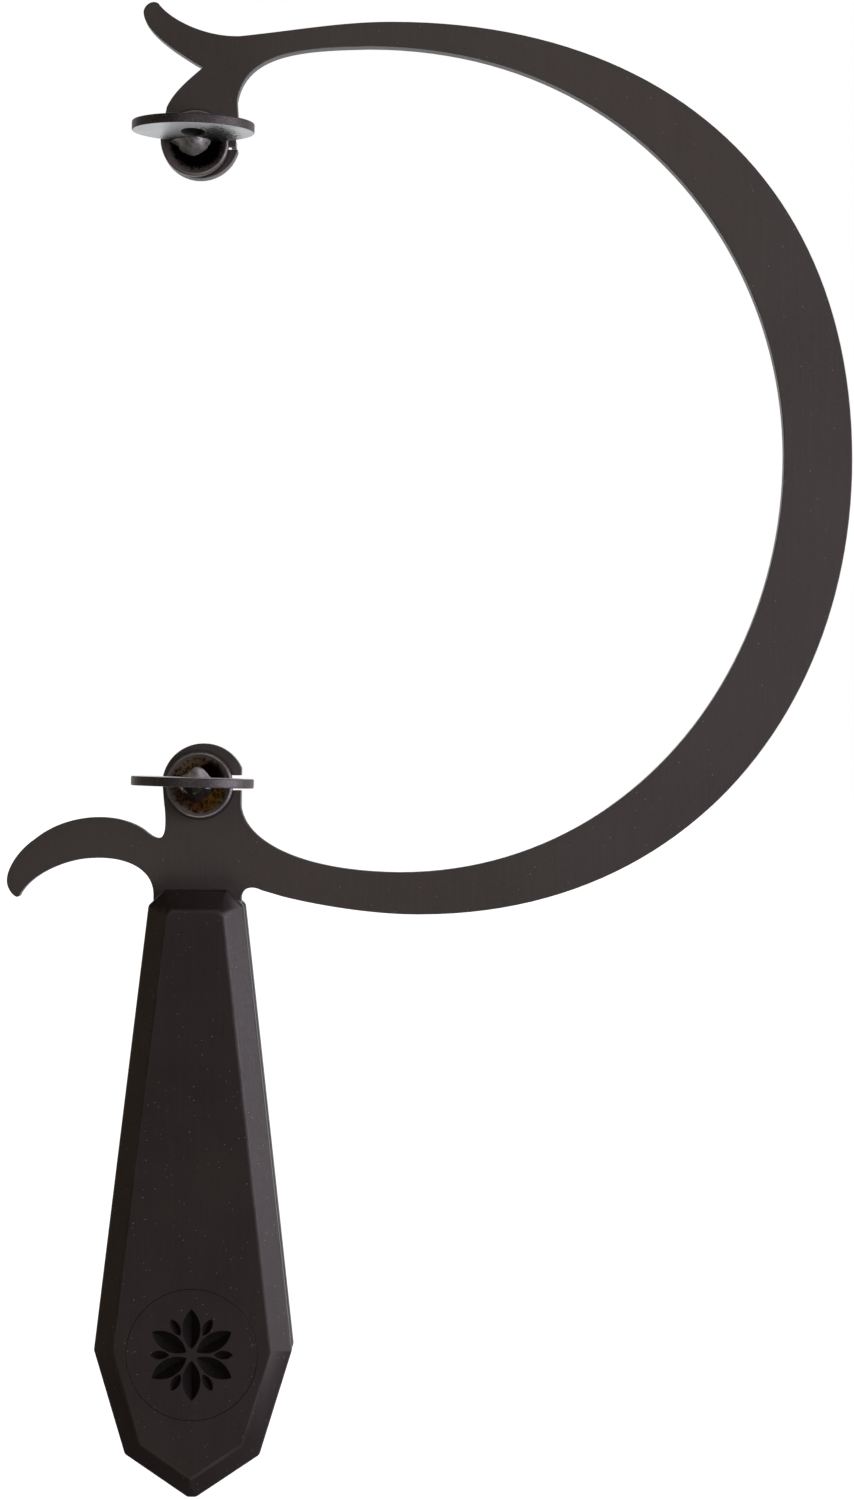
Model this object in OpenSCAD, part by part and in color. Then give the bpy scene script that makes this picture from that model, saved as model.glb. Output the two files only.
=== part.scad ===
// Bow frame of a small hand saw. A springy steel plate in the shape of a crescent carries two clamp
// screws in line with a bevelled coffin-shaped grip; a blade is held between the two clamps.
// X is across the frame, towards the bow. Z is up, along the blade line. The front faces -Y.
// The origin is the middle of the grip's length, on the blade line, halfway through the plate.

/* [Plate] */
// Thickness of the steel plate
plate_t = 4; // [3.5:0.5:5]
// Furthest reach of the bow's outer edge from the blade line
bow_reach = 127.3; // [125:0.1:130]
// Height of the bow's crown
bow_top = 228.9; // [228:0.1:230]
// Height of the bow's lowest point
bow_foot = 54.7; // [54:0.1:55.5]
// Height at which the bow reaches furthest
belly_z = 143.5; // [138:0.5:150]
// Width of the bow's band at its belly
band_belly = 13.3; // [11:0.1:16]
// Width of the band at its crown
band_top = 4.8; // [4:0.1:5.5]
// Width of the band at its foot
band_foot = 8.2; // [7.5:0.1:9]

/* [Eyes] */
// Height of the lower clamp screw
lower_z = 80; // [79.5:0.1:80.5]
// Distance between the two clamp screws
clamp_gap = 125; // [124.5:0.1:125.5]
// How far the upper screw stands back from the bow, against the lower one
upper_back = 0.8; // [0:0.1:1]
// Radius of the round end of the upper eye
upper_eye_r = 7.7; // [7.5:0.1:7.9]
// Radius of the round end of the lower eye
lower_eye_r = 8.1; // [7.9:0.1:8.3]
// Height of the slot from each screw hole to the inside of the bow
slot_h = 2.9; // [2.4:0.1:3.2]

/* [Clamps] */
// Diameter of the screw's shank
shank_d = 5.9; // [5.8:0.05:5.95]
// Diameter of the screw's round head
head_d = 13; // [12:0.5:14]
// Thickness of the head
head_t = 1.7; // [1.5:0.1:2.5]
// Thickness of the pressure washer
washer_t = 0.8; // [0.6:0.1:1]
// Diameter of the thumb disc that stands on the head
disc_d = 23.5; // [20:0.5:26]
// Thickness of the thumb disc
disc_t = 1.8; // [1.5:0.1:2.2]
// Width of the oval hole in the thumb disc
disc_hole_w = 4.5; // [4:0.1:6]
// Length of that hole, along the line to the screw
disc_hole_l = 9.6; // [6:0.1:12]
// How far a screw backs off before its clip meets the nut
clamp_lift = 2; // [1:0.5:3]

/* [Grip] */
// Thickness of each scale
scale_t = 8; // [7.5:0.5:10]
// Width of the bevel round each scale
bevel = 3.9; // [3:0.1:4.5]
// Greatest width of the grip
grip_w = 38.4; // [37:0.1:40]
// Diameter of the inlay in the front scale
medallion_d = 25.4; // [22:0.1:26]
// Lean of the grip's own axis
grip_tilt = 0.4; // [0:0.1:0.6]

/* [Hidden] */

STEEL = [0.17, 0.155, 0.155];
DARK_STEEL = [0.24, 0.22, 0.23];
WELD = [0.62, 0.62, 0.63];
GRIP = [0.14, 0.13, 0.13];
BRASS = [0.75, 0.6, 0.3];

ROUND = 96;
OVAL = 48;
SAMPLES = 24;
face_y = plate_t / 2;

lower_at = [0, lower_z];
upper_at = [-upper_back, lower_z + clamp_gap];
// Each eye's round end is a little off its screw.
upper_eye = upper_at + [0.8, 1];
lower_eye = lower_at + [0.7, 0];
slot_rise = 0.4;
shank_hole_d = 6.4;

// The clamp's stack, measured towards the front from the middle of the plate
head_back = face_y + washer_t;
head_front = head_back + head_t;
nut_t = 3.2;
nut_af = 10;
clip_t = 0.7;
clip_d = 9;
groove_d = 5;
clip_y = face_y + nut_t + clamp_lift + 0.1;
shank_end = clip_y + clip_t + 0.6;
tab_h = 1.4;
tab_in = 6.9;
tab_out = 7.9;
tab_depth = 3.4;
weld_r = 3.5;
// The discs are welded on by eye: each is off its screw's axis by a little across and up, and leans.
UPPER = [0.35, 1, 1.3];
LOWER = [-0.6, 0.65, 1.7];

// The grip's outline, in its own frame: its axis is x = 0 and its top edge is z = 0.
grip_at = [-0.55, 59.6];
coffin = [
    [6.1, 0], [9.2, -3], [grip_w / 2, -89.4], [13.1, -109.5], [0.8, -117.8],
    [-0.8, -117.8], [-13.1, -109.5], [-grip_w / 2, -89.4], [-9.2, -3], [-6.1, 0]
];
tang_gap = 0.2;
bevel_odds = 0.1;
medallion_z = -89.6;
medallion_t = 2;
inlay_gap = 0.1;
screw_z = [-25, -58, -107];
screw_d = 4;
screw_head_d = 8;
screw_l = 16;
insert_d = 5.6;
insert_l = 6;
dowel_z = [-41, -72];
dowel_d = 3;
dowel_l = 12;

// ---------- outline helpers ----------

// Points of a cubic curve from a to b with handles p and q. Its end point is left to the next stretch.
function bend(a, p, q, b, n = SAMPLES) = [
    for (i = [0 : n - 1])
        let (t = i / n, u = 1 - t)
            u * u * u * a + 3 * u * u * t * p + 3 * u * t * t * q + t * t * t * b
];

// A quarter of the bow, level at a and upright at b. A fullness of 0.55 would be a true ellipse.
function quarter(a, b, level, upright, n = SAMPLES * 2) =
    bend(a, [a[0] + level * (b[0] - a[0]), a[1]], [b[0], b[1] + upright * (a[1] - b[1])], b, n);

// The same curve, run from its upright end to its level end
function quarter_back(b, a, level, upright, n = SAMPLES * 2) =
    bend(b, [b[0], b[1] + upright * (a[1] - b[1])], [a[0] + level * (b[0] - a[0]), a[1]], a, n);

// An arc about c from angle a0 to angle a1
function arc(c, r, a0, a1, n = SAMPLES) = [
    for (i = [0 : n])
        let (a = a0 + (a1 - a0) * i / n)
            c + r * [cos(a), sin(a)]
];

crown = [37.5, bow_top];
belly = [bow_reach, belly_z];
foot = [43, bow_foot];
crown_in = [33, bow_top - band_top];
belly_in = [bow_reach - band_belly, belly_z + 0.9];
foot_in = [39, bow_foot + band_foot];
saddle = [7.8, 226.1];
horn_tip = [-8.1, 232.5];
horn_side = [-11, 231];
fork = [0.6, 220];
hook_tip = [-35.3, 58.3];
hook_side = [-37.7, 61.2];

// Round the plate clockwise from the tip of the horn. The stretch across the tang is hidden in the grip.
outline = concat(
    bend(horn_tip, [-6.1, 229.6], [0.6, 225.9], saddle),
    bend(saddle, [19.4, 227.3], [27.5, bow_top], crown),
    quarter(crown, belly, 0.605, 0.625),
    quarter_back(belly, foot, 0.63, 0.538),
    bend(foot, [34.5, bow_foot - 0.1], [22.8, 56.4], [15, 58.5]),
    bend([12.1, 59.4], [9.9, 60.5], [8, 59.9], [8, 57.6], 10),
    [[8, 50], [-9.1, 50]],
    bend([-9.1, 58.9], [-9.3, 63.6], [-14.4, 66.1], [-21, 65.7]),
    bend([-21, 65.7], [-25.4, 65.6], [-33.1, 62.9], hook_tip),
    bend(hook_tip, [-35.8, 57.5], [-37.7, 59.4], hook_side, 8),
    bend(hook_side, [-37.8, 63.7], [-35.4, 67.3], [-32.3, 69.4]),
    bend([-32.3, 69.4], [-25.6, 74.9], [-15.7, 74.7], [-10.9, 71.2]),
    bend([-10.9, 71.2], [-9, 69.6], [-7, 68.3], [-6.8, 72], 12),
    bend([-6.8, 72], [-6.6, 75], [-7.3, 77], [-7.3, 81.6], 8),
    arc(lower_eye, lower_eye_r, 167, 24),
    bend([8, 76], [8.6, 69.1], [19.3, 63.1], foot_in),
    quarter(foot_in, belly_in, 0.59, 0.53),
    quarter_back(belly_in, crown_in, 0.632, 0.502),
    bend(crown_in, [19.9, 223.8], [7.9, 223.4], [7.1, 212.2]),
    arc(upper_eye, upper_eye_r, 0, -180),
    bend([-6.5, 212.2], [-5.3, 214.9], [-3, 217], fork),
    bend(fork, [-3.5, 222.4], [-11.3, 227.1], horn_side),
    bend(horn_side, [-10.8, 232.2], [-9.3, 233.3], horn_tip, 8)
);

// The grip's outline, drawn in by a given width
function beside(p, q, w) = let (d = q - p, u = d / norm(d)) w * [u[1], -u[0]];
function crossing(a, b, c, d) =
    let (r = b - a, s = d - c, k = r[0] * s[1] - r[1] * s[0])
        a + r * ((c - a)[0] * s[1] - (c - a)[1] * s[0]) / k;
function drawn_in(points, w) = [
    for (i = [0 : len(points) - 1])
        let (
            a = points[(i + len(points) - 1) % len(points)],
            b = points[i],
            c = points[(i + 1) % len(points)],
            m = beside(a, b, w),
            n = beside(b, c, w)
        )
            crossing(a + m, b + m, b + n, c + n)
];

// ---------- placing ----------

// A round bar along Y from y0 to y1
module bar(d, y0, y1) {
    translate([0, y1, 0])
        rotate([90, 0, 0])
            cylinder(d = d, h = y1 - y0, $fn = ROUND);
}

// A bar that narrows from d0 at y0 to d1 at y1
module taper(d0, d1, y0, y1) {
    translate([0, y1, 0])
        rotate([90, 0, 0])
            cylinder(d1 = d1, d2 = d0, h = y1 - y0, $fn = ROUND);
}

// The flat shape stood up in the XZ plane, between y0 and y1
module upright(y0, y1) {
    translate([0, y1, 0])
        rotate([90, 0, 0])
            linear_extrude(y1 - y0)
                children();
}

module on_grip() {
    translate([grip_at[0], 0, grip_at[1]])
        rotate([0, grip_tilt, 0])
            children();
}

module at_clamp(p) {
    translate([p[0], 0, p[1]])
        children();
}

module grip_holes(d, heights) {
    for (z = heights)
        translate([0, z])
            circle(d = d, $fn = ROUND);
}

// ---------- plate ----------

module eye_cut(screw) {
    translate(screw)
        circle(d = shank_hole_d, $fn = ROUND);
    translate([screw[0], screw[1] + slot_rise - slot_h / 2])
        square([12, slot_h]);
}

module bow_frame() {
    color(STEEL)
        upright(-face_y, face_y)
            difference() {
                union() {
                    polygon(outline);
                    translate(grip_at)
                        rotate(-grip_tilt)
                            polygon(drawn_in(coffin, tang_gap));
                }
                eye_cut(upper_at);
                eye_cut(lower_at);
                translate(grip_at)
                    rotate(-grip_tilt) {
                        grip_holes(screw_d + 0.4, screw_z);
                        grip_holes(dowel_d + 0.04, dowel_z);
                    }
            }
}

// ---------- grip ----------

// Takes off all that lies outside a bevel of width w along the edge from p to q
module bevel_cut(p, q, w) {
    d = q - p;
    translate([p[0], -(face_y + scale_t - w), p[1]])
        rotate([0, -atan2(d[1], d[0]), 0])
            rotate([45, 0, 0])
                translate([-150, -60, 0])
                    cube([300, 120, 60]);
}

// Neighbouring bevels differ by a hair, so that no more than three planes meet in a corner.
module scale_blank() {
    difference() {
        upright(-face_y - scale_t, -face_y)
            polygon(coffin);
        for (i = [0 : len(coffin) - 1])
            bevel_cut(coffin[i], coffin[(i + 1) % len(coffin)], bevel - bevel_odds * (i % 2));
    }
}

module front_scale() {
    color(GRIP)
        on_grip()
            difference() {
                scale_blank();
                translate([0, 0, medallion_z])
                    bar(medallion_d + inlay_gap, -face_y - scale_t - 1, -face_y - scale_t + medallion_t);
                for (z = screw_z)
                    translate([0, 0, z])
                        bar(insert_d, -face_y - insert_l, 0);
                for (z = dowel_z)
                    translate([0, 0, z])
                        bar(dowel_d + 0.04, -dowel_l / 2 - 0.2, 0);
            }
}

module back_scale() {
    back = face_y + scale_t;
    sink = (screw_head_d - screw_d) / 2;
    color(GRIP)
        on_grip()
            difference() {
                mirror([0, 1, 0])
                    scale_blank();
                for (z = screw_z)
                    translate([0, 0, z]) {
                        bar(screw_d + 0.4, 0, back + 1);
                        taper(screw_d, screw_head_d + 0.1, back - 0.3 - sink, back - 0.3);
                        bar(screw_head_d + 0.1, back - 0.3, back + 1);
                    }
                for (z = dowel_z)
                    translate([0, 0, z])
                        bar(dowel_d + 0.04, 0, dowel_l / 2 + 0.2);
            }
}

module medallion() {
    color(GRIP)
        on_grip()
            translate([0, 0, medallion_z])
                bar(medallion_d, -face_y - scale_t, -face_y - scale_t + medallion_t);
}

module hex_socket(af, y0, y1) {
    translate([0, y1, 0])
        rotate([90, 0, 0])
            cylinder(d = af / cos(30), h = y1 - y0, $fn = 6);
}

module grip_screws() {
    back = face_y + scale_t - 0.3;
    sink = (screw_head_d - screw_d) / 2;
    color(DARK_STEEL)
        on_grip()
            for (z = screw_z)
                translate([0, 0, z])
                    difference() {
                        union() {
                            bar(screw_d - 0.05, back - screw_l, back - sink);
                            taper(screw_d - 0.05, screw_head_d, back - sink, back);
                        }
                        hex_socket(2.5, back - 1.6, back + 1);
                    }
}

module grip_inserts() {
    color(BRASS)
        on_grip()
            for (z = screw_z)
                translate([0, 0, z])
                    difference() {
                        bar(insert_d, -face_y - insert_l, -face_y);
                        bar(screw_d, -face_y - insert_l - 1, -face_y + 1);
                    }
}

module locating_dowels() {
    color(DARK_STEEL)
        on_grip()
            for (z = dowel_z)
                translate([0, 0, z])
                    bar(dowel_d, -dowel_l / 2, dowel_l / 2);
}

// ---------- clamps ----------

module clamp_screw() {
    rim = 0.3;
    color(DARK_STEEL)
        difference() {
            union() {
                bar(shank_d, -head_back, shank_end);
                bar(head_d, -head_front + rim, -head_back);
                taper(head_d - 2 * rim, head_d, -head_front, -head_front + rim);
            }
            difference() {
                bar(shank_d + 1, clip_y, clip_y + clip_t);
                bar(groove_d, clip_y - 1, clip_y + clip_t + 1);
            }
        }
}

// Moves what is drawn flat about the origin to the disc's place, where it stands on its edge on the head
module on_edge(fit) {
    translate([fit[0], -head_front - disc_d / 2, fit[1]])
        rotate([0, fit[2], 0])
            children();
}

module plain_disc() {
    cylinder(d = disc_d, h = disc_t, center = true, $fn = ROUND);
}

module oval_hole() {
    linear_extrude(height = disc_t + 2, center = true)
        polygon([
            for (i = [0 : OVAL - 1])
                let (turn = 360 * i / OVAL)
                    [disc_hole_w * cos(turn), disc_hole_l * sin(turn)] / 2
        ]);
}

module thumb_disc(fit) {
    color(DARK_STEEL)
        on_edge(fit)
            difference() {
                plain_disc();
                oval_hole();
            }
}

// A bead of weld on the head, on both sides of the disc's edge
module weld(fit) {
    color(WELD)
        difference() {
            translate([0, -head_front, 0])
                sphere(r = weld_r, $fn = ROUND);
            bar(4 * weld_r, -head_front, 2 * weld_r);
            on_edge(fit)
                plain_disc();
        }
}

// A washer whose ear is bent back into the eye's slot, so that it can't turn with the screw
module pressure_washer() {
    color(DARK_STEEL)
        difference() {
            union() {
                bar(head_d, -head_back, -face_y);
                translate([head_d / 2 - 0.8, -head_back, -tab_h / 2])
                    cube([tab_out - head_d / 2 + 0.8, washer_t, tab_h]);
                translate([tab_in, -head_back, -tab_h / 2])
                    cube([tab_out - tab_in, washer_t + tab_depth, tab_h]);
            }
            bar(shank_hole_d, -head_back - 1, -face_y + 1);
        }
}

module back_nut() {
    corner = nut_af / cos(30);
    color(DARK_STEEL)
        difference() {
            intersection() {
                hex_socket(nut_af, face_y, face_y + nut_t);
                union() {
                    bar(corner + 1, face_y, face_y + nut_t - 0.5);
                    taper(corner + 1, corner - 0.7, face_y + nut_t - 0.5, face_y + nut_t);
                }
            }
            bar(shank_d + 0.1, face_y - 1, face_y + nut_t + 1);
        }
}

module retaining_clip() {
    color(DARK_STEEL)
        difference() {
            bar(clip_d, clip_y, clip_y + clip_t);
            bar(groove_d, clip_y - 1, clip_y + clip_t + 1);
            translate([-groove_d * 0.35, clip_y - 1, -clip_d])
                cube([groove_d * 0.7, clip_t + 2, clip_d]);
        }
}

bow_frame();
front_scale();
back_scale();
medallion();
grip_screws();
grip_inserts();
locating_dowels();
at_clamp(upper_at) clamp_screw();  // upper_clamp_screw
at_clamp(upper_at) thumb_disc(UPPER);  // upper_thumb_disc
at_clamp(upper_at) weld(UPPER);  // upper_weld
at_clamp(upper_at) pressure_washer();  // upper_pressure_washer
at_clamp(upper_at) back_nut();  // upper_back_nut
at_clamp(upper_at) retaining_clip();  // upper_retaining_clip
at_clamp(lower_at) clamp_screw();  // lower_clamp_screw
at_clamp(lower_at) thumb_disc(LOWER);  // lower_thumb_disc
at_clamp(lower_at) weld(LOWER);  // lower_weld
at_clamp(lower_at) pressure_washer();  // lower_pressure_washer
at_clamp(lower_at) back_nut();  // lower_back_nut
at_clamp(lower_at) retaining_clip();  // lower_retaining_clip
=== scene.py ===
import math

import bmesh
import bpy
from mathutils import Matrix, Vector, noise
from mathutils.geometry import delaunay_2d_cdt


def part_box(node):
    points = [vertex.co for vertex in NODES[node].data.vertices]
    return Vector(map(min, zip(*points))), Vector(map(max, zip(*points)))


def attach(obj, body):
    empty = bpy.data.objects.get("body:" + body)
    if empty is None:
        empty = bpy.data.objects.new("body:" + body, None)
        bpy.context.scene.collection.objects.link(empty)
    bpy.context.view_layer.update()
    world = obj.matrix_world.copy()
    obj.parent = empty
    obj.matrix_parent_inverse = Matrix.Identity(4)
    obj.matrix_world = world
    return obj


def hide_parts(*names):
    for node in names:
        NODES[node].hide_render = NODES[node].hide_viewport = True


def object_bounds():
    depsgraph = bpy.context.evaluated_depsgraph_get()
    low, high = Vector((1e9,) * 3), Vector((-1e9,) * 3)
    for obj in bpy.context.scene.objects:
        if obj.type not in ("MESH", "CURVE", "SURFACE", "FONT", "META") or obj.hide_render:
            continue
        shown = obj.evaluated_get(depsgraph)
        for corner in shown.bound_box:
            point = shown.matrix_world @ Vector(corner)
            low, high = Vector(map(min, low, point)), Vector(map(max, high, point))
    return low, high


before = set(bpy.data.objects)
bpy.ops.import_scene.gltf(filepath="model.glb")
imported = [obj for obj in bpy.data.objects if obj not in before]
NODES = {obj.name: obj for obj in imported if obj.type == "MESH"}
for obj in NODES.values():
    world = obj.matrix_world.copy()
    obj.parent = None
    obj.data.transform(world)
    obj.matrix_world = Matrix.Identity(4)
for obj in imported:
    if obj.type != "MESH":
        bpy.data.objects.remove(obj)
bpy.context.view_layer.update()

MM = 0.001


# ---------- small helpers ----------


def mid(node):
    low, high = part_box(node)
    return (low + high) / 2


def mesh_object(name, bm, smooth_angle=None):
    mesh = bpy.data.meshes.new(name)
    bm.to_mesh(mesh)
    bm.free()
    obj = bpy.data.objects.new(name, mesh)
    bpy.context.scene.collection.objects.link(obj)
    if smooth_angle is not None:
        mesh.shade_smooth()
        mesh.set_sharp_from_angle(angle=math.radians(smooth_angle))
    return obj


# ---------- material helpers ----------


class Paint:
    """A node material under construction: each method adds a node and returns its output socket."""

    def __init__(self, name, **shader):
        self.material = bpy.data.materials.new(name)
        self.material.use_nodes = True
        self.tree = self.material.node_tree
        self.shader = self.tree.nodes["Principled BSDF"]
        places = self.tree.nodes.new("ShaderNodeTexCoord").outputs
        self.coords, self.normal = places["Object"], places["Normal"]
        for key, value in shader.items():
            self.shader.inputs[key.replace("_", " ")].default_value = value

    def node(self, kind, **settings):
        made = self.tree.nodes.new(kind)
        for key, value in settings.items():
            setattr(made, key, value)
        return made

    def feed(self, socket, value):
        if isinstance(value, bpy.types.NodeSocket):
            self.tree.links.new(value, socket)
        elif isinstance(value, tuple) and len(value) == 3 and socket.type == "RGBA":
            socket.default_value = (*value, 1)
        else:
            socket.default_value = value

    def place(self, turn=(0, 0, 0), scale=(1, 1, 1)):
        mapping = self.node("ShaderNodeMapping")
        self.feed(mapping.inputs["Vector"], self.coords)
        self.feed(mapping.inputs["Rotation"], turn)
        self.feed(mapping.inputs["Scale"], scale)
        return mapping.outputs["Vector"]

    def noise(self, scale, detail=4, rough=0.5, distort=0, vector=None):
        made = self.node("ShaderNodeTexNoise")
        self.feed(made.inputs["Vector"], vector or self.coords)
        self.feed(made.inputs["Scale"], scale)
        self.feed(made.inputs["Detail"], detail)
        self.feed(made.inputs["Roughness"], rough)
        self.feed(made.inputs["Distortion"], distort)
        return made.outputs["Fac"]

    def spots(self, scale):
        made = self.node("ShaderNodeTexVoronoi", feature="F1")
        self.feed(made.inputs["Vector"], self.coords)
        self.feed(made.inputs["Scale"], scale)
        return made.outputs["Distance"], made.outputs["Color"]

    def ramp(self, value, *stops):
        made = self.node("ShaderNodeValToRGB")
        self.feed(made.inputs["Fac"], value)
        ramp = made.color_ramp
        while len(ramp.elements) < len(stops):
            ramp.elements.new(0.5)
        for element, (at, colour) in zip(ramp.elements, stops):
            element.position = at
            element.color = (*colour, 1) if isinstance(colour, tuple) else (colour,) * 3 + (1,)
        return made.outputs["Color"]

    def math(self, operation, a, b=0.0, c=None):
        made = self.node("ShaderNodeMath", operation=operation)
        self.feed(made.inputs[0], a)
        self.feed(made.inputs[1], b)
        if c is not None:
            self.feed(made.inputs[2], c)
        return made.outputs[0]

    def between(self, value, low, high, out_low=0.0, out_high=1.0, kind="LINEAR"):
        made = self.node("ShaderNodeMapRange", clamp=True, interpolation_type=kind)
        self.feed(made.inputs["Value"], value)
        self.feed(made.inputs["From Min"], low)
        self.feed(made.inputs["From Max"], high)
        self.feed(made.inputs["To Min"], out_low)
        self.feed(made.inputs["To Max"], out_high)
        return made.outputs["Result"]

    def mix(self, share, a, b):
        made = self.node("ShaderNodeMix", data_type="RGBA")
        self.feed(made.inputs["Factor"], share)
        self.feed(made.inputs["A"], a)
        self.feed(made.inputs["B"], b)
        return made.outputs["Result"]

    def split(self, vector=None):
        made = self.node("ShaderNodeSeparateXYZ")
        self.feed(made.inputs[0], vector or self.coords)
        return made.outputs["X"], made.outputs["Y"], made.outputs["Z"]

    def bump(self, height, distance, strength=1.0, normal=None):
        made = self.node("ShaderNodeBump")
        self.feed(made.inputs["Height"], height)
        self.feed(made.inputs["Distance"], distance)
        self.feed(made.inputs["Strength"], strength)
        if normal is not None:
            self.feed(made.inputs["Normal"], normal)
        return made.outputs["Normal"]

    def finish(self, colour=None, rough=None, normal=None, metallic=None):
        links = (("Base Color", colour), ("Roughness", rough), ("Normal", normal), ("Metallic", metallic))
        for key, value in links:
            if value is not None:
                self.feed(self.shader.inputs[key], value)
        return self.material


def wear(obj, *materials):
    """Gives a piece its materials: the first for its faces, the second for its rounded edges or its cuts."""
    slots = obj.data.materials
    if slots:
        slots.clear()
    for material in materials:
        slots.append(material)


SHARP = math.radians(33)


def modifier_group(name):
    group = bpy.data.node_groups.new(name, "GeometryNodeTree")
    group.interface.new_socket("Geometry", in_out="INPUT", socket_type="NodeSocketGeometry")
    group.interface.new_socket("Geometry", in_out="OUTPUT", socket_type="NodeSocketGeometry")
    return group, group.nodes.new("NodeGroupInput"), group.nodes.new("NodeGroupOutput")


def joined_corners():
    """A modifier group that joins the corners that a CAD mesh splits between its faces."""
    group, start, end = modifier_group("joined_corners")
    merge = group.nodes.new("GeometryNodeMergeByDistance")
    merge.inputs["Distance"].default_value = 1e-6
    group.links.new(start.outputs[0], merge.inputs[0])
    group.links.new(merge.outputs[0], end.inputs[0])
    return group


def edge_widths(name, inlay=None):
    """A modifier group that marks the real edges for rounding.

    Those within the inlay's radius get only a share of the width.
    """
    group, start, end = modifier_group(name)
    angle = group.nodes.new("GeometryNodeInputMeshEdgeAngle")
    sharp = group.nodes.new("FunctionNodeCompare")
    sharp.data_type = "FLOAT"
    sharp.operation = "GREATER_THAN"
    sharp.inputs[1].default_value = SHARP
    group.links.new(angle.outputs["Unsigned Angle"], sharp.inputs[0])
    weight = sharp.outputs[0]
    if inlay:
        centre, radius, share = inlay
        away = group.nodes.new("ShaderNodeVectorMath")
        away.operation = "DISTANCE"
        away.inputs[1].default_value = centre
        group.links.new(group.nodes.new("GeometryNodeInputPosition").outputs[0], away.inputs[0])
        near = group.nodes.new("ShaderNodeMapRange")
        near.inputs["From Min"].default_value = radius
        near.inputs["From Max"].default_value = radius * 1.01
        near.inputs["To Min"].default_value = share
        group.links.new(away.outputs["Value"], near.inputs["Value"])
        both = group.nodes.new("ShaderNodeMath")
        both.operation = "MULTIPLY"
        group.links.new(weight, both.inputs[0])
        group.links.new(near.outputs[0], both.inputs[1])
        weight = both.outputs[0]
    normals = group.nodes.new("GeometryNodeSetMeshNormal")
    normals.mode = "SHARPNESS"
    normals.inputs["Remove Custom"].default_value = True
    normals.inputs["Edge Sharpness"].default_value = False
    normals.inputs["Face Sharpness"].default_value = False
    store = group.nodes.new("GeometryNodeStoreNamedAttribute")
    store.data_type = "FLOAT"
    store.domain = "EDGE"
    store.inputs["Name"].default_value = "bevel_weight_edge"
    group.links.new(start.outputs[0], normals.inputs["Mesh"])
    group.links.new(normals.outputs[0], store.inputs["Geometry"])
    group.links.new(weight, store.inputs["Value"])
    group.links.new(store.outputs[0], end.inputs[0])
    return group


JOINED = joined_corners()
WHOLE_EDGES = edge_widths("edge_widths")


def soften(node, width, segments=2, widths=WHOLE_EDGES, edge_slot=0):
    """Rounds a CAD node's edges by modifiers: its own mesh stays as it is.

    The width is in millimetres. The rounded edge takes material edge_slot.
    """
    obj = NODES[node]
    obj.modifiers.new("joined", "NODES").node_group = JOINED
    flat = obj.modifiers.new("flat", "DECIMATE")
    flat.decimate_type = "DISSOLVE"
    flat.angle_limit = math.radians(0.2)
    obj.modifiers.new("widths", "NODES").node_group = widths
    edge = obj.modifiers.new("edge", "BEVEL")
    edge.width = width * MM
    edge.segments = segments
    edge.limit_method = "WEIGHT"
    edge.use_clamp_overlap = False
    edge.material = edge_slot
    obj.modifiers.new("shade", "WEIGHTED_NORMAL").weight = 50
    return obj


# ---------- materials ----------


def dust(paint, scale, share, size):
    """Small bright grains. Only those whose middle the surface passes show, so a full share is sparse."""
    distance, colour = paint.spots(scale)
    chosen = paint.between(paint.split(colour)[0], 1 - share - 0.001, 1 - share + 0.001)
    grain = paint.between(distance, size * 0.5, size, 1, 0)
    return paint.math("MULTIPLY", chosen, grain)


def plate_steel(name, washers):
    """Brownish black oxide on rolled steel plate, with a painted contact shadow as a dark line round each
    washer.

    Each washer is (centre, radius).
    """
    paint = Paint(name, Metallic=0.0, IOR=1.5)
    broad = paint.noise(28, 3, 0.5)
    grain = paint.noise(1900, 3, 0.6)
    rolled = paint.noise(30, 5, 0.62, vector=paint.place(scale=(62, 62, 2.4)))
    colour = paint.mix(paint.between(broad, 0.3, 0.7), (0.045, 0.0345, 0.035), (0.060, 0.048, 0.049))
    colour = paint.mix(paint.between(grain, 0.35, 0.7, 0, 0.5), colour, (0.066, 0.058, 0.058))
    colour = paint.mix(paint.between(rolled, 0.4, 0.75, 0, 0.22), colour, (0.08, 0.07, 0.07))
    specks = dust(paint, 620, 0.5, 0.09)
    colour = paint.mix(paint.math("MULTIPLY", specks, 0.6), colour, (0.3, 0.27, 0.25))
    for centre, radius in washers:
        away, _ = around(paint, centre)
        # painted contact shadow: the plate is darkened just outside each washer's edge
        washer_shadow = paint.between(away, radius + 0.15 * MM, radius + 0.55 * MM, 0.85, 0, "SMOOTHSTEP")
        colour = paint.mix(washer_shadow, colour, (0.008, 0.006, 0.006))
    roughness = paint.between(grain, 0.3, 0.7, 0.41, 0.54)
    fine = paint.bump(grain, 0.02 * MM, 0.5)
    normal = paint.bump(rolled, 0.02 * MM, 0.35, fine)
    return paint.finish(colour, roughness, normal)


def rubbed_steel(name):
    """The rounded edge of the plate, where the oxide has rubbed thin."""
    paint = Paint(name, Metallic=0.35, IOR=1.5)
    grain = paint.noise(1500, 4, 0.65)
    patches = paint.noise(160, 4, 0.6)
    thin = paint.between(patches, 0.42, 0.66)
    colour = paint.mix(thin, (0.040, 0.034, 0.034), (0.105, 0.093, 0.092))
    colour = paint.mix(paint.between(grain, 0.45, 0.7, 0, 0.5), colour, (0.13, 0.12, 0.12))
    normal = paint.bump(grain, 0.02 * MM, 0.6)
    return paint.finish(colour, paint.between(grain, 0.3, 0.7, 0.36, 0.52), normal)


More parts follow.
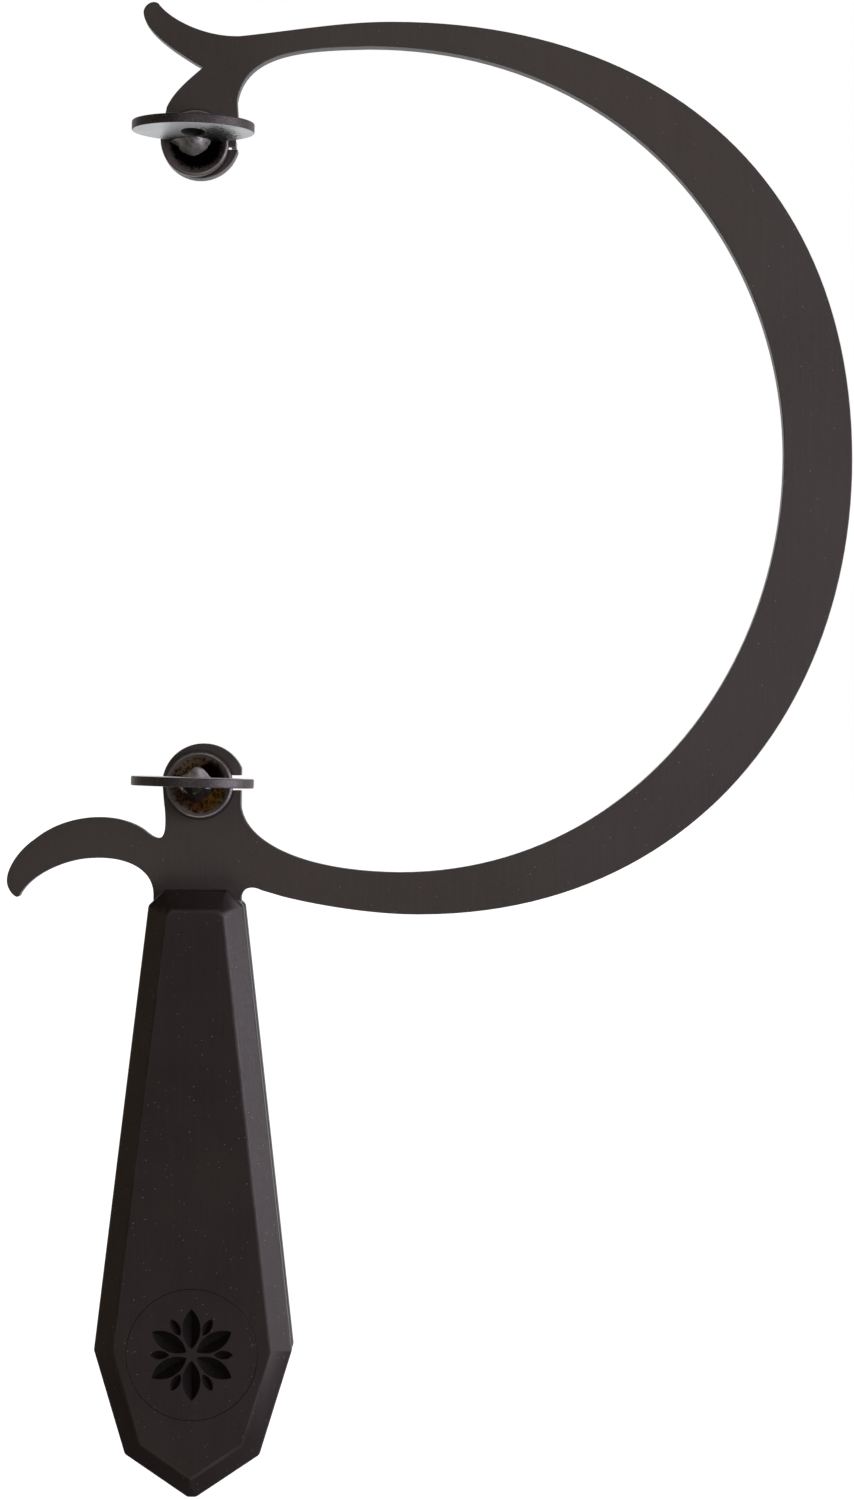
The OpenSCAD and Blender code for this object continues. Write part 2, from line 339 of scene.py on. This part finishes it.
def grip_black(name, tone=1.0):
    """Matt black grip material, finely pitted, with pale dust in the pits."""
    paint = Paint(name, Metallic=0.0, IOR=1.4)
    cloud = paint.noise(60, 5, 0.6)
    grain = paint.noise(2400, 3, 0.6)
    lines = paint.noise(26, 4, 0.6, vector=paint.place(scale=(75, 40, 3)))
    dark = (0.0190 * tone, 0.0128 * tone, 0.0136 * tone)
    pale = (0.0280 * tone, 0.0195 * tone, 0.0208 * tone)
    colour = paint.mix(paint.between(cloud, 0.3, 0.7), dark, pale)
    colour = paint.mix(paint.between(lines, 0.45, 0.75, 0, 0.35), colour, (0.034, 0.027, 0.027))
    scuffs = paint.between(paint.noise(310, 6, 0.72), 0.62, 0.75)
    colour = paint.mix(paint.math("MULTIPLY", scuffs, 0.35), colour, (0.07, 0.045, 0.036))
    for scale, share, size in ((520, 0.6, 0.065), (420, 0.8, 0.05), (900, 0.5, 0.09)):
        specks = dust(paint, scale, share, size)
        colour = paint.mix(paint.math("MULTIPLY", specks, 0.7), colour, (0.34, 0.29, 0.25))
    pits = dust(paint, 900, 0.12, 0.2)
    roughness = paint.between(grain, 0.3, 0.7, 0.44, 0.58)
    fine = paint.bump(grain, 0.018 * MM, 0.5)
    normal = paint.bump(pits, -0.03 * MM, 0.5, fine)
    return paint.finish(colour, roughness, normal)


def grip_edge(name):
    """The handled arris of the grip, polished a little paler."""
    paint = Paint(name, Metallic=0.0, IOR=1.5)
    grain = paint.noise(900, 4, 0.6)
    patches = paint.noise(120, 4, 0.6)
    colour = paint.mix(paint.between(patches, 0.35, 0.7), (0.015, 0.011, 0.010), (0.036, 0.029, 0.027))
    normal = paint.bump(grain, 0.015 * MM, 0.5)
    return paint.finish(colour, paint.between(grain, 0.3, 0.7, 0.48, 0.62), normal)


def carved_black(name):
    """The carved cuts of the inlay, coloured near black and left rough."""
    paint = Paint(name, Metallic=0.0, IOR=1.2)
    grain = paint.noise(1600, 4, 0.6)
    colour = paint.mix(paint.between(grain, 0.35, 0.7), (0.0020, 0.0014, 0.0014), (0.008, 0.006, 0.006))
    normal = paint.bump(grain, 0.03 * MM, 0.6)
    return paint.finish(colour, paint.between(grain, 0.3, 0.7, 0.6, 0.75), normal)


def clamp_steel(name):
    """Blued steel of the pressure washers and back nuts."""
    paint = Paint(name, Metallic=0.7, IOR=1.6)
    broad = paint.noise(110, 3, 0.5)
    grain = paint.noise(2600, 3, 0.6)
    colour = paint.mix(paint.between(broad, 0.3, 0.7), (0.0765, 0.0666, 0.072), (0.1215, 0.1098, 0.1188))
    colour = paint.mix(paint.between(grain, 0.4, 0.75, 0, 0.4), colour, (0.19, 0.175, 0.18))
    specks = dust(paint, 900, 0.05, 0.1)
    colour = paint.mix(paint.math("MULTIPLY", specks, 0.5), colour, (0.4, 0.38, 0.36))
    normal = paint.bump(grain, 0.01 * MM, 0.4)
    return paint.finish(colour, paint.between(grain, 0.3, 0.7, 0.26, 0.38), normal)


def around(paint, centre):
    """Distance and direction, in metres and turns, of each point from an axis along Y through centre."""
    x, _, z = paint.split()
    dx = paint.math("SUBTRACT", x, centre.x)
    dz = paint.math("SUBTRACT", z, centre.z)
    squares = paint.math("ADD", paint.math("MULTIPLY", dx, dx), paint.math("MULTIPLY", dz, dz))
    turn = paint.math("DIVIDE", paint.math("ARCTAN2", dz, dx), math.tau)
    return paint.math("SQRT", squares), paint.math("FRACT", turn)


# The temper colours and the soot lie on a head's front, and fade out between these two depths, in millimetres
HEAD_DEPTHS = (-4.0, -4.4)
# How far in from the head's edge its pale rim band starts and ends, in millimetres: a painted highlight,
# patchy with rubbed wear
RIM_HIGHLIGHT_AND_WEAR = (0.52, 0.15)


def tinted_steel(name, centre, head_r, tints, tint_r, soot_r, soot_shift):
    """A screw's head: blued steel, with temper colours and soot round the weld on its face.

    The tints are a ramp by direction. tint_r, soot_r and soot_shift are in millimetres.
    """
    paint = Paint(name, IOR=1.5)
    radius, turn = around(paint, centre)
    grain = paint.noise(2200, 4, 0.65)
    streaks = paint.noise(1500, 5, 0.8, 0.6)
    wobble = paint.math("MULTIPLY_ADD", streaks, 2.6 * MM, -1.3 * MM)
    steel = paint.mix(grain, (0.105, 0.092, 0.093), (0.175, 0.156, 0.158))
    tint = paint.ramp(turn, *tints)
    dark_tint = paint.mix(0.92, tint, (0.005, 0.0025, 0.0018))
    tint = paint.mix(paint.between(streaks, 0.44, 0.55), dark_tint, tint)
    burnt = paint.math("ADD", radius, wobble)
    inside = paint.between(burnt, (tint_r - 0.4) * MM, (tint_r + 0.3) * MM, 1, 0, "SMOOTHSTEP")
    front = paint.between(paint.split()[1], *(depth * MM for depth in HEAD_DEPTHS))
    share = paint.math("MULTIPLY", inside, front)
    colour = paint.mix(share, steel, tint)
    sooty, _ = around(paint, centre + Vector((soot_shift[0], 0, soot_shift[1])) * MM)
    sooty = paint.math("ADD", sooty, wobble)
    black = paint.between(sooty, (soot_r - 0.7) * MM, (soot_r + 0.9) * MM, 1, 0, "SMOOTHSTEP")
    black = paint.math("MULTIPLY", black, front)
    colour = paint.mix(black, colour, (0.0025, 0.0012, 0.0009))
    # The pale rim band is a painted highlight along the head's edge, broken up in patches like rubbed wear.
    rim_start, rim_end = (head_r - inset * MM for inset in RIM_HIGHLIGHT_AND_WEAR)
    bright = paint.between(radius, rim_start, rim_start + 0.1 * MM)
    bright = paint.math("MULTIPLY", bright, paint.between(radius, rim_end - 0.1 * MM, rim_end, 1, 0))
    bright = paint.math("MULTIPLY", bright, front)
    rubbed = paint.between(paint.noise(300, 4, 0.6), 0.35, 0.65, 0.3, 1.0)
    colour = paint.mix(paint.math("MULTIPLY", bright, rubbed), colour, (0.36, 0.33, 0.32))
    rougher = paint.math("MULTIPLY", share, 0.12)
    roughness = paint.math("ADD", paint.between(grain, 0.3, 0.7, 0.42, 0.52), rougher)
    metallic = paint.between(paint.math("MAXIMUM", share, black), 0, 1, 0.8, 1.0)
    coarse = paint.bump(streaks, 0.06 * MM, 0.6)
    normal = paint.bump(grain, 0.012 * MM, 0.5, coarse)
    return paint.finish(colour, roughness, normal, metallic)


def disc_steel(name, hole, smudges):
    """Thumb disc: bare faces, a blued stamped edge, soot where the torch burnt its face, and painted shade in
    and round its hole.

    The hole is (x, y, reach along x, reach along y). Each smudge is the same four numbers and a strength.
    """
    paint = Paint(name, IOR=1.6)
    x, y, _ = paint.split()
    broad = paint.noise(150, 4, 0.55)
    grain = paint.noise(2600, 3, 0.6)
    torn = paint.noise(1250, 7, 0.85)
    flat = paint.between(paint.math("ABSOLUTE", paint.split(paint.normal)[2]), 0.8, 0.95)
    edge = paint.mix(paint.between(broad, 0.3, 0.7), (0.033, 0.027, 0.030), (0.060, 0.050, 0.055))
    face = paint.mix(paint.between(broad, 0.3, 0.7), (0.40, 0.415, 0.43), (0.50, 0.51, 0.53))
    colour = paint.mix(flat, edge, face)
    colour = paint.mix(paint.between(grain, 0.45, 0.75, 0, 0.3), colour, (0.26, 0.24, 0.25))
    colour = paint.mix(paint.math("MULTIPLY", dust(paint, 900, 0.05, 0.1), 0.5), colour, (0.55, 0.52, 0.5))

    def away(at_x, at_y, reach_x, reach_y):
        dx = paint.math("DIVIDE", paint.math("SUBTRACT", x, at_x), reach_x)
        dy = paint.math("DIVIDE", paint.math("SUBTRACT", y, at_y), reach_y)
        squares = paint.math("ADD", paint.math("MULTIPLY", dx, dx), paint.math("MULTIPLY", dy, dy))
        return paint.math("SQRT", squares)

    soot = 0.0
    for *ellipse, strength in smudges:
        ragged = paint.math("ADD", away(*ellipse), paint.between(torn, 0.36, 0.64, -0.6, 0.6))
        smudge = paint.between(ragged, 0.6, 1.15, strength, 0, "SMOOTHSTEP")
        soot = paint.math("MAXIMUM", soot, smudge)
    soot = paint.math("MULTIPLY", soot, flat)
    # painted shade: the hole's wall and a thin ring round the hole are coloured black
    soot = paint.math("MAXIMUM", soot, paint.between(away(*hole), 1.0, 1.12, 1, 0))
    colour = paint.mix(soot, colour, (0.004, 0.0022, 0.0018))
    ground = paint.between(flat, 0, 1, 0.5, 0.36)
    roughness = paint.math("MAXIMUM", ground, paint.between(soot, 0, 1, 0.0, 0.7))
    metallic = paint.between(flat, 0, 1, 0.35, 1.0)
    coarse = paint.bump(paint.math("MULTIPLY", torn, soot), 0.12 * MM, 0.7)
    normal = paint.bump(grain, 0.008 * MM, 0.4, coarse)
    return paint.finish(colour, roughness, normal, metallic)


def weld_metal(name, tone, rough, metallic, burnt):
    """Silver-grey weld, brushed a little, painted near black below the height burnt as shade under its disc.
    """
    paint = Paint(name, Metallic=metallic)
    broad = paint.noise(420, 3, 0.5, 0.8)
    brushed = paint.noise(500, 4, 0.6, vector=paint.place(turn=(0, 0.5, 0), scale=(0.6, 1, 5)))
    grain = paint.noise(3000, 3, 0.6)
    dull = (0.28 * tone, 0.26 * tone, 0.265 * tone)
    bright = (0.60 * tone, 0.585 * tone, 0.60 * tone)
    colour = paint.mix(paint.between(broad, 0.36, 0.6), dull, bright)
    colour = paint.mix(paint.between(brushed, 0.5, 0.75, 0, 0.3), colour, bright)
    height = paint.math("ADD", paint.split()[2], paint.between(broad, 0.3, 0.7, -1.2 * MM, 1.2 * MM))
    # painted shade: below the height burnt the weld is coloured near black, standing for the shade under its
    # disc
    scale = paint.between(height, burnt - 0.4 * MM, burnt + 0.5 * MM, 0.985, 0, "SMOOTHSTEP")
    colour = paint.mix(scale, colour, (0.007, 0.004, 0.003))
    normal = paint.bump(brushed, 0.06 * MM, 0.7)
    normal = paint.bump(grain, 0.01 * MM, 0.4, normal)
    return paint.finish(colour, paint.between(grain, 0.35, 0.65, rough - 0.05, rough + 0.05), normal)


def black_oxide(name):
    """The bought fasteners' even black finish."""
    paint = Paint(name, Metallic=0.5, IOR=1.55)
    grain = paint.noise(1800, 4, 0.6)
    patches = paint.noise(240, 3, 0.5)
    colour = paint.mix(paint.between(patches, 0.35, 0.7), (0.022, 0.021, 0.022), (0.045, 0.042, 0.043))
    colour = paint.mix(paint.between(grain, 0.5, 0.75, 0, 0.4), colour, (0.1, 0.095, 0.09))
    normal = paint.bump(grain, 0.012 * MM, 0.5)
    return paint.finish(colour, paint.between(grain, 0.3, 0.7, 0.3, 0.45), normal)


def turned_brass(name):
    paint = Paint(name, Metallic=1.0)
    rings = paint.noise(70, 3, 0.5, vector=paint.place(scale=(1, 60, 1)))
    colour = paint.mix(rings, (0.52, 0.36, 0.13), (0.78, 0.58, 0.27))
    normal = paint.bump(rings, 0.02 * MM, 0.5)
    return paint.finish(colour, paint.between(rings, 0.3, 0.7, 0.25, 0.4), normal)


# ---------- mesh builders ----------


def skin(bm, rings, closed=True):
    """Joins rings of vertices, one after the other, with quads."""
    faces = []
    for low, high in zip(rings, rings[1:]):
        count = len(low)
        for i in range(count if closed else count - 1):
            j = (i + 1) % count
            faces.append(bm.faces.new((low[i], low[j], high[j], high[i])))
    return faces


def turned(name, rings, centre, steps):
    """A closed solid of revolution along Y. Each ring is (y, radius); radius may depend on the turn and y."""
    bm = bmesh.new()
    made = []
    for y, radius in rings:
        ring = []
        for i in range(steps):
            share = i / steps
            r = radius(share, y) if callable(radius) else radius
            angle = share * math.tau
            ring.append(bm.verts.new((centre.x + r * math.sin(angle), y, centre.z + r * math.cos(angle))))
        made.append(ring)
    skin(bm, made)
    bm.faces.new(made[0][::-1])
    bm.faces.new(made[-1])
    bmesh.ops.recalc_face_normals(bm, faces=bm.faces)
    return mesh_object(name, bm, 32)


# M6 clamp screw, in millimetres
PITCH = 1.0
MAJOR_R = 2.95
THREAD_DEPTH = 0.55
GROOVE_R = 2.5
RIM = 0.32


def clamp_screw(name, node, washer, clip):
    """The clamp screw with its dished rim, thread and clip groove. It stands for the plain CAD screw."""
    low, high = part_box(node)
    centre = (low + high) / 2
    head_r = (high.x - low.x) / 2
    head_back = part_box(washer)[0].y
    clip_low, clip_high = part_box(clip)
    thread_start = head_back + 1.4 * MM
    thread_end = clip_low.y - 0.2 * MM

    def thread(share, y):
        fade = min(1, (y - thread_start) / (0.7 * MM), (thread_end - y) / (0.5 * MM))
        phase = (y / (PITCH * MM) - share) % 1
        groove = max(0, min(1, (1 - abs(2 * phase - 1)) * 1.35 - 0.12))
        return (MAJOR_R - THREAD_DEPTH * groove * max(0, fade)) * MM

    rings = [
        (low.y + 0.10 * MM, 2.0 * MM),
        (low.y + 0.10 * MM, head_r - 0.95 * MM),
        (low.y + 0.03 * MM, head_r - 0.72 * MM),
        (low.y, head_r - 0.55 * MM),
        (low.y, head_r - RIM * MM),
        (low.y + 0.10 * MM, head_r - 0.14 * MM),
        (low.y + 0.26 * MM, head_r - 0.03 * MM),
        (low.y + 0.34 * MM, head_r),
        (head_back - 0.22 * MM, head_r),
        (head_back - 0.06 * MM, head_r - 0.06 * MM),
        (head_back, head_r - 0.22 * MM),
        (head_back, (MAJOR_R + 0.25) * MM),
        (head_back + 0.2 * MM, MAJOR_R * MM),
    ]
    slices = round((thread_end - thread_start) / (PITCH * MM / 12))
    for i in range(slices + 1):
        rings.append((thread_start + (thread_end - thread_start) * i / slices, thread))
    rings += [
        (clip_low.y, MAJOR_R * MM),
        (clip_low.y, GROOVE_R * MM),
        (clip_high.y, GROOVE_R * MM),
        (clip_high.y, MAJOR_R * MM),
        (high.y - 0.35 * MM, MAJOR_R * MM),
        (high.y, (MAJOR_R - 0.4) * MM),
        (high.y, 0.9 * MM),
        (high.y - 0.45 * MM, 0.25 * MM),
    ]
    obj = turned(name, rings, centre, 72)
    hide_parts(node)
    return obj


# The CAD thumb disc's thickness, and its oval hole, in millimetres
DISC_T = 1.8
DISC_HOLE_W = 4.5
DISC_HOLE_L = 9.6
# How deep each half of a weld sinks into its disc, in millimetres
WELD_SINK = 0.06


def weld_bead(name, node, disc, bead):
    """A folded bead of weld on both sides of the disc's foot. It stands for the plain CAD dome.

    The bead's size is its reach along each axis and its shift is along X, in millimetres. Its lean is the
    disc's, in degrees.
    """
    centre = mid(node)
    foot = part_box(node)[1].y
    disc_low, disc_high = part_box(disc)
    level = (disc_low.z + disc_high.z) / 2
    tilt = math.radians(bead["lean"])
    up = Vector((math.sin(tilt), 0, math.cos(tilt)))
    size = bead["size"]
    seed = bead["seed"]
    bm = bmesh.new()
    bmesh.ops.create_icosphere(bm, subdivisions=6, radius=1)
    middle = Vector((centre.x + bead["shift"] * MM, foot, centre.z))
    for v in bm.verts:
        d = v.co.normalized()
        fan = math.atan2(d.z, d.x) + 0.5 * noise.noise(d * 1.5 + Vector((seed, 0, 0)))
        folds = abs(math.sin(fan * bead["folds"] / 2 + seed))
        rim = 1 - d.y * d.y
        lump = noise.noise(d * 1.6 + Vector((0, seed, 3)))
        fine = noise.noise(d * 5 + Vector((seed, 5, 0)))
        swell = 1 + 0.08 * lump + 0.15 * (folds - 0.7) * rim + 0.02 * fine
        reach = Vector((size[0] * d.x, size[1] * d.y, size[2] * d.z)) * swell
        point = max(0, 1 - abs(d.z) / 0.32) ** 2 if d.x < 0 else 0
        reach.x *= 1 + bead["point"] * point
        v.co = middle + reach * MM
    faces = bm.verts[:] + bm.edges[:] + bm.faces[:]
    bmesh.ops.bisect_plane(bm, geom=faces, plane_co=(0, foot, 0), plane_no=(0, 1, 0), clear_outer=True)
    halves = []
    for side in (1, -1):
        half = bm.copy()
        face = Vector((centre.x, 0, level)) + up * (side * (DISC_T / 2 - WELD_SINK) * MM)
        geometry = half.verts[:] + half.edges[:] + half.faces[:]
        bmesh.ops.bisect_plane(half, geom=geometry, plane_co=face, plane_no=up * side, clear_inner=True)
        bmesh.ops.holes_fill(half, edges=half.edges, sides=0)
        bmesh.ops.recalc_face_normals(half, faces=half.faces)
        mesh = bpy.data.meshes.new("half")
        half.to_mesh(mesh)
        half.free()
        halves.append(mesh)
    bm.free()
    both = bmesh.new()
    for mesh in halves:
        both.from_mesh(mesh)
        bpy.data.meshes.remove(mesh)
    obj = mesh_object(name, both, 50)
    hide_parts(node)
    return obj


# Generic rosette cut into the inlay, in millimetres: six long petals, and six short ones between them
LONG_PETAL = (1.1, 8.9, 1.75, 1.05)
SHORT_PETAL = (4.3, 8.0, 0.85, 0.65)
STATIONS = 14


def petal(turn, start, end, half_width, depth):
    """A pointed leaf along a radius: its left and right outline, and the bottom of its V-shaped cut."""
    along = Vector((math.sin(turn), math.cos(turn)))
    across = Vector((along.y, -along.x))
    half = (end - start) / 2
    bend_r = (half * half + half_width * half_width) / (2 * half_width)
    left, right, keel = [], [], []
    for i in range(STATIONS + 1):
        t = 2 * i / STATIONS - 1
        width = math.sqrt(bend_r**2 - (half * t) ** 2) - (bend_r - half_width)
        point = along * (start + half * (1 + t))
        left.append(point - across * width)
        right.append(point + across * width)
        keel.append((point, depth * width / half_width))
    return left, right, keel


def inside(point, loop):
    hit = False
    for a, b in zip(loop, loop[1:] + loop[:1]):
        if (a.y > point.y) != (b.y > point.y):
            hit ^= point.x < a.x + (point.y - a.y) / (b.y - a.y) * (b.x - a.x)
    return hit


def rosette(name, node):
    """The inlay with the rosette carved into its face. It stands for the plain CAD disc."""
    low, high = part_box(node)
    centre = (low + high) / 2
    radius = (high.x - low.x) / 2 / MM
    chamfer = 0.08
    steps = 96
    petals = [petal(math.tau * k / 6, *LONG_PETAL) for k in range(6)]
    petals += [petal(math.tau * (k + 0.5) / 6, *SHORT_PETAL) for k in range(6)]
    rim = [
        Vector((math.sin(math.tau * i / steps), math.cos(math.tau * i / steps))) * (radius - chamfer)
        for i in range(steps)
    ]
    loops = [rim] + [left + right[-2:0:-1] for left, right, _ in petals]
    points, edges = [], []
    for loop in loops:
        first = len(points)
        points += loop
        edges += [(first + i, first + (i + 1) % len(loop)) for i in range(len(loop))]
    flat, _, triangles, _, _, _ = delaunay_2d_cdt(points, edges, [], 0, 1e-6)

    def at(point, depth=0.0):
        return Vector((centre.x + point.x * MM, low.y + depth * MM, centre.z + point.y * MM))

    bm = bmesh.new()
    top = [bm.verts.new(at(p)) for p in flat]
    for triangle in triangles:
        middle = sum((flat[i] for i in triangle), Vector((0, 0))) / 3
        if not any(inside(middle, loop) for loop in loops[1:]):
            bm.faces.new([top[i] for i in triangle])
    for left, right, keel in petals:
        bottom = [bm.verts.new(at(*k)) for k in keel]
        for side in (left, right):
            edge = [bm.verts.new(at(p)) for p in side]
            for face in skin(bm, list(zip(edge, bottom)), closed=False):
                face.material_index = 1
    wall = [[bm.verts.new(at(p)) for p in rim]]
    for r, y in ((radius, chamfer), (radius, (high.y - low.y) / MM)):
        wall.append([bm.verts.new(at(p * (r / (radius - chamfer)), y)) for p in rim])
    skin(bm, wall)
    bm.faces.new(wall[-1])
    bmesh.ops.remove_doubles(bm, verts=bm.verts, dist=0.002 * MM)
    bmesh.ops.dissolve_degenerate(bm, edges=bm.edges, dist=0.001 * MM)
    bmesh.ops.recalc_face_normals(bm, faces=bm.faces)
    obj = mesh_object(name, bm, 20)
    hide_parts(node)
    return obj


# ---------- the object ----------

washers = []
for node in ("upper_clamp_screw", "lower_clamp_screw"):
    screw_low, screw_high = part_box(node)
    washers.append(((screw_low + screw_high) / 2, (screw_high.x - screw_low.x) / 2))
plate = plate_steel("plate_steel", washers)
plate_edge = rubbed_steel("plate_edge")
grip = grip_black("grip_black")
arris = grip_edge("grip_arris")
oxide = black_oxide("black_oxide")
washer_steel = clamp_steel("washer_steel")

inlay_low, inlay_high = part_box("medallion")
inlay_centre = (inlay_low + inlay_high) / 2
inlay_radius = (inlay_high.x - inlay_low.x) / 2
inlay_front = Vector((inlay_centre.x, inlay_low.y, inlay_centre.z))
FRONT_EDGES = edge_widths("front_scale_edges", (inlay_front, inlay_radius * 1.06, 0.12))

wear(soften("bow_frame", 0.16, edge_slot=1), plate, plate_edge)
wear(soften("front_scale", 0.4, 3, FRONT_EDGES, edge_slot=1), grip, arris)
wear(soften("back_scale", 0.35, 3, edge_slot=1), grip, arris)
wear(soften("grip_screws", 0.12), oxide)
wear(soften("grip_inserts", 0.1), turned_brass("insert_brass"))
wear(soften("locating_dowels", 0.2), oxide)

inlay = rosette("rosette_inlay", "medallion")
wear(inlay, grip_black("inlay_black", 0.95), carved_black("carved_black"))
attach(inlay, "frame")

# Each bead: its reach, its shift, how many folds, how far its point sticks out, its lean and its noise seed
BEADS = {
    "upper": {"size": (3.5, 6.0, 2.5), "shift": -0.35, "folds": 3, "point": 0.22, "lean": 1.3, "seed": 3.7},
    "lower": {"size": (3.2, 3.6, 3.35), "shift": -0.4, "folds": 4, "point": 0.15, "lean": 1.7, "seed": 11.2},
}
# Temper colours round each head, by the share of a turn from +X towards +Z
TINTS = {
    "upper": [
        (0.0, (0.020, 0.014, 0.011)),
        (0.3, (0.030, 0.021, 0.014)),
        (0.62, (0.024, 0.016, 0.012)),
        (1.0, (0.020, 0.014, 0.011)),
    ],
    "lower": [
        (0.00, (0.113, 0.068, 0.026)),
        (0.04, (0.018, 0.012, 0.009)),
        (0.17, (0.034, 0.018, 0.012)),
        (0.23, (0.151, 0.104, 0.056)),
        (0.34, (0.226, 0.160, 0.085)),
        (0.44, (0.170, 0.113, 0.072)),
        (0.56, (0.085, 0.049, 0.030)),
        (0.65, (0.113, 0.060, 0.034)),
        (0.76, (0.142, 0.056, 0.016)),
        (0.83, (0.198, 0.098, 0.018)),
        (0.93, (0.208, 0.113, 0.017)),
        (1.00, (0.113, 0.068, 0.026)),
    ],
}
# How far the temper colours reach from each screw's axis, in millimetres
TINT_R = {"upper": 4.8, "lower": 5.4}
# Soot on each head, in millimetres: its radius, and its middle across and up from the screw's axis
SOOT = {"upper": (5.0, (0.4, -0.3)), "lower": (2.6, (1.6, 1.6))}
# Each weld's tone, roughness, share of bare metal, and the height above its screw's axis below which it is
# painted dark, as painted shade under its disc
# The tones are lit and shaded copies of one weld metal: the lower weld's is raised as painted light on its
# top, the upper weld's lowered as painted shade on its underside.
WELDS = {"upper": (0.62, 0.48, 0.6, -9.0), "lower": (1.6, 0.34, 0.3, -0.5)}
# Soot on each disc's faces: across from its middle, out from the head, the reach both ways, and its strength
SMUDGES = {
    "upper": [(4.1, 7.5, 3.9, 12.0, 1.0), (-2.8, 2.0, 3.4, 6.0, 0.7)],
    "lower": [(1.0, 2.0, 3.6, 3.2, 0.5)],
}

for which in ("upper", "lower"):
    body = which + "_screw"
    plain_screw, washer, clip = which + "_clamp_screw", which + "_pressure_washer", which + "_retaining_clip"
    screw = clamp_screw(which + "_threaded_screw", plain_screw, washer, clip)
    screw_low, screw_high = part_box(plain_screw)
    axis, head_r = (screw_low + screw_high) / 2, (screw_high.x - screw_low.x) / 2
    burns = (TINTS[which], TINT_R[which], *SOOT[which])
    wear(screw, tinted_steel(which + "_tinted_steel", axis, head_r, *burns))
    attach(screw, body)

    disc = which + "_thumb_disc"
    disc_x, disc_foot = mid(disc).x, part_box(disc)[1].y
    smudges = [
        (disc_x + x * MM, disc_foot - out * MM, wide * MM, long * MM, strength)
        for x, out, wide, long, strength in SMUDGES[which]
    ]
    hole = (disc_x, mid(disc).y, DISC_HOLE_W / 2 * MM, DISC_HOLE_L / 2 * MM)
    wear(soften(disc, 0.22, 3), disc_steel(which + "_disc_steel", hole, smudges))

    bead = weld_bead(which + "_weld_bead", which + "_weld", disc, BEADS[which])
    # burnt here is the height below which the weld is painted dark, as painted shade under its disc
    *finish, burnt = WELDS[which]
    wear(bead, weld_metal(which + "_weld_metal", *finish, axis.z + burnt * MM))
    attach(bead, body)

    wear(soften(washer, 0.1), washer_steel)
    wear(soften(which + "_back_nut", 0.14), washer_steel)
    wear(soften(clip, 0.1), oxide)


# ---------- floor, light and camera ----------

FLOOR_DROP = 0.3
low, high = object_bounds()
centre = (low + high) / 2

bm = bmesh.new()
bmesh.ops.create_grid(bm, x_segments=1, y_segments=1, size=30)
floor = mesh_object("floor", bm)
floor.location = (centre.x, centre.y, low.z - FLOOR_DROP)
paper = Paint("white_paper", Roughness=0.9)
wear(floor, paper.finish((0.85, 0.85, 0.85)))
paper.shader.inputs["Emission Color"].default_value = (1, 1, 1, 1)
paper.shader.inputs["Emission Strength"].default_value = 1.0
# The floor is only a ground to stand the picture on: the studio's light doesn't come from it.
floor.visible_diffuse = False
floor.visible_glossy = False
floor.visible_shadow = False

scene = bpy.context.scene
world = bpy.data.worlds.new("studio")
scene.world = world
world.use_nodes = True
sky = world.node_tree
backdrop = sky.nodes["Background"]
backdrop.inputs["Color"].default_value = (1, 1, 1, 1)
direction = sky.nodes.new("ShaderNodeTexCoord").outputs["Generated"]
facing = sky.nodes.new("ShaderNodeSeparateXYZ")
sky.links.new(direction, facing.inputs[0])
shade = sky.nodes.new("ShaderNodeMapRange")
shade.interpolation_type = "SMOOTHSTEP"
shade.inputs["From Min"].default_value = 0.35
shade.inputs["From Max"].default_value = 0.85
shade.inputs["To Min"].default_value = 0.02
shade.inputs["To Max"].default_value = 1.0
sky.links.new(facing.outputs["Y"], shade.inputs["Value"])
path = sky.nodes.new("ShaderNodeLightPath")
seen = sky.nodes.new("ShaderNodeMix")
sky.links.new(path.outputs["Is Camera Ray"], seen.inputs["Factor"])
sky.links.new(shade.outputs[0], seen.inputs["A"])
seen.inputs["B"].default_value = 1.0
sky.links.new(seen.outputs["Result"], backdrop.inputs["Strength"])


def softbox(name, direction, distance, size, power, colour):
    light = bpy.data.lights.new(name, "AREA")
    light.color = colour
    light.shape = "RECTANGLE"
    light.size, light.size_y = size
    light.energy = power
    obj = bpy.data.objects.new(name, light)
    obj.location = centre + Vector(direction).normalized() * distance
    obj.rotation_euler = (centre - obj.location).to_track_quat("-Z", "Y").to_euler()
    obj.visible_camera = False
    scene.collection.objects.link(obj)


softbox("side", (1, -0.05, 0), 0.9, (0.5, 0.5), 2.2, (1, 0.98, 0.92))
softbox("key", (0.93, -0.36, 0), 0.5, (0.4, 0.4), 2.2, (0.93, 0.86, 1))
softbox("warm", (-1, -0.05, 0), 0.9, (0.5, 0.5), 0.5, (1, 0.72, 0.48))
softbox("low", (0, -0.7, -0.7), 0.9, (0.5, 0.5), 1.9, (1, 0.93, 0.82))
softbox("front", (0, -1, 0.35), 0.9, (0.5, 0.5), 1.0, (1, 0.9, 0.75))

# The photograph's view: square on to the plate's face, from three quarters of a metre
LENS_TO_FACE = 0.760
LENS_X = 0.0443
LENS_Z = 0.0868
camera = bpy.data.objects.new("camera", bpy.data.cameras.new("camera"))
camera.data.lens = 93.5
camera.data.sensor_width = 36
camera.location = (LENS_X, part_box("bow_frame")[0].y - LENS_TO_FACE, LENS_Z)
camera.rotation_euler = (math.radians(90), 0, 0)
camera.data.clip_start, camera.data.clip_end = 0.01, 100
scene.collection.objects.link(camera)
scene.camera = camera
scene.view_settings.view_transform = "Standard"
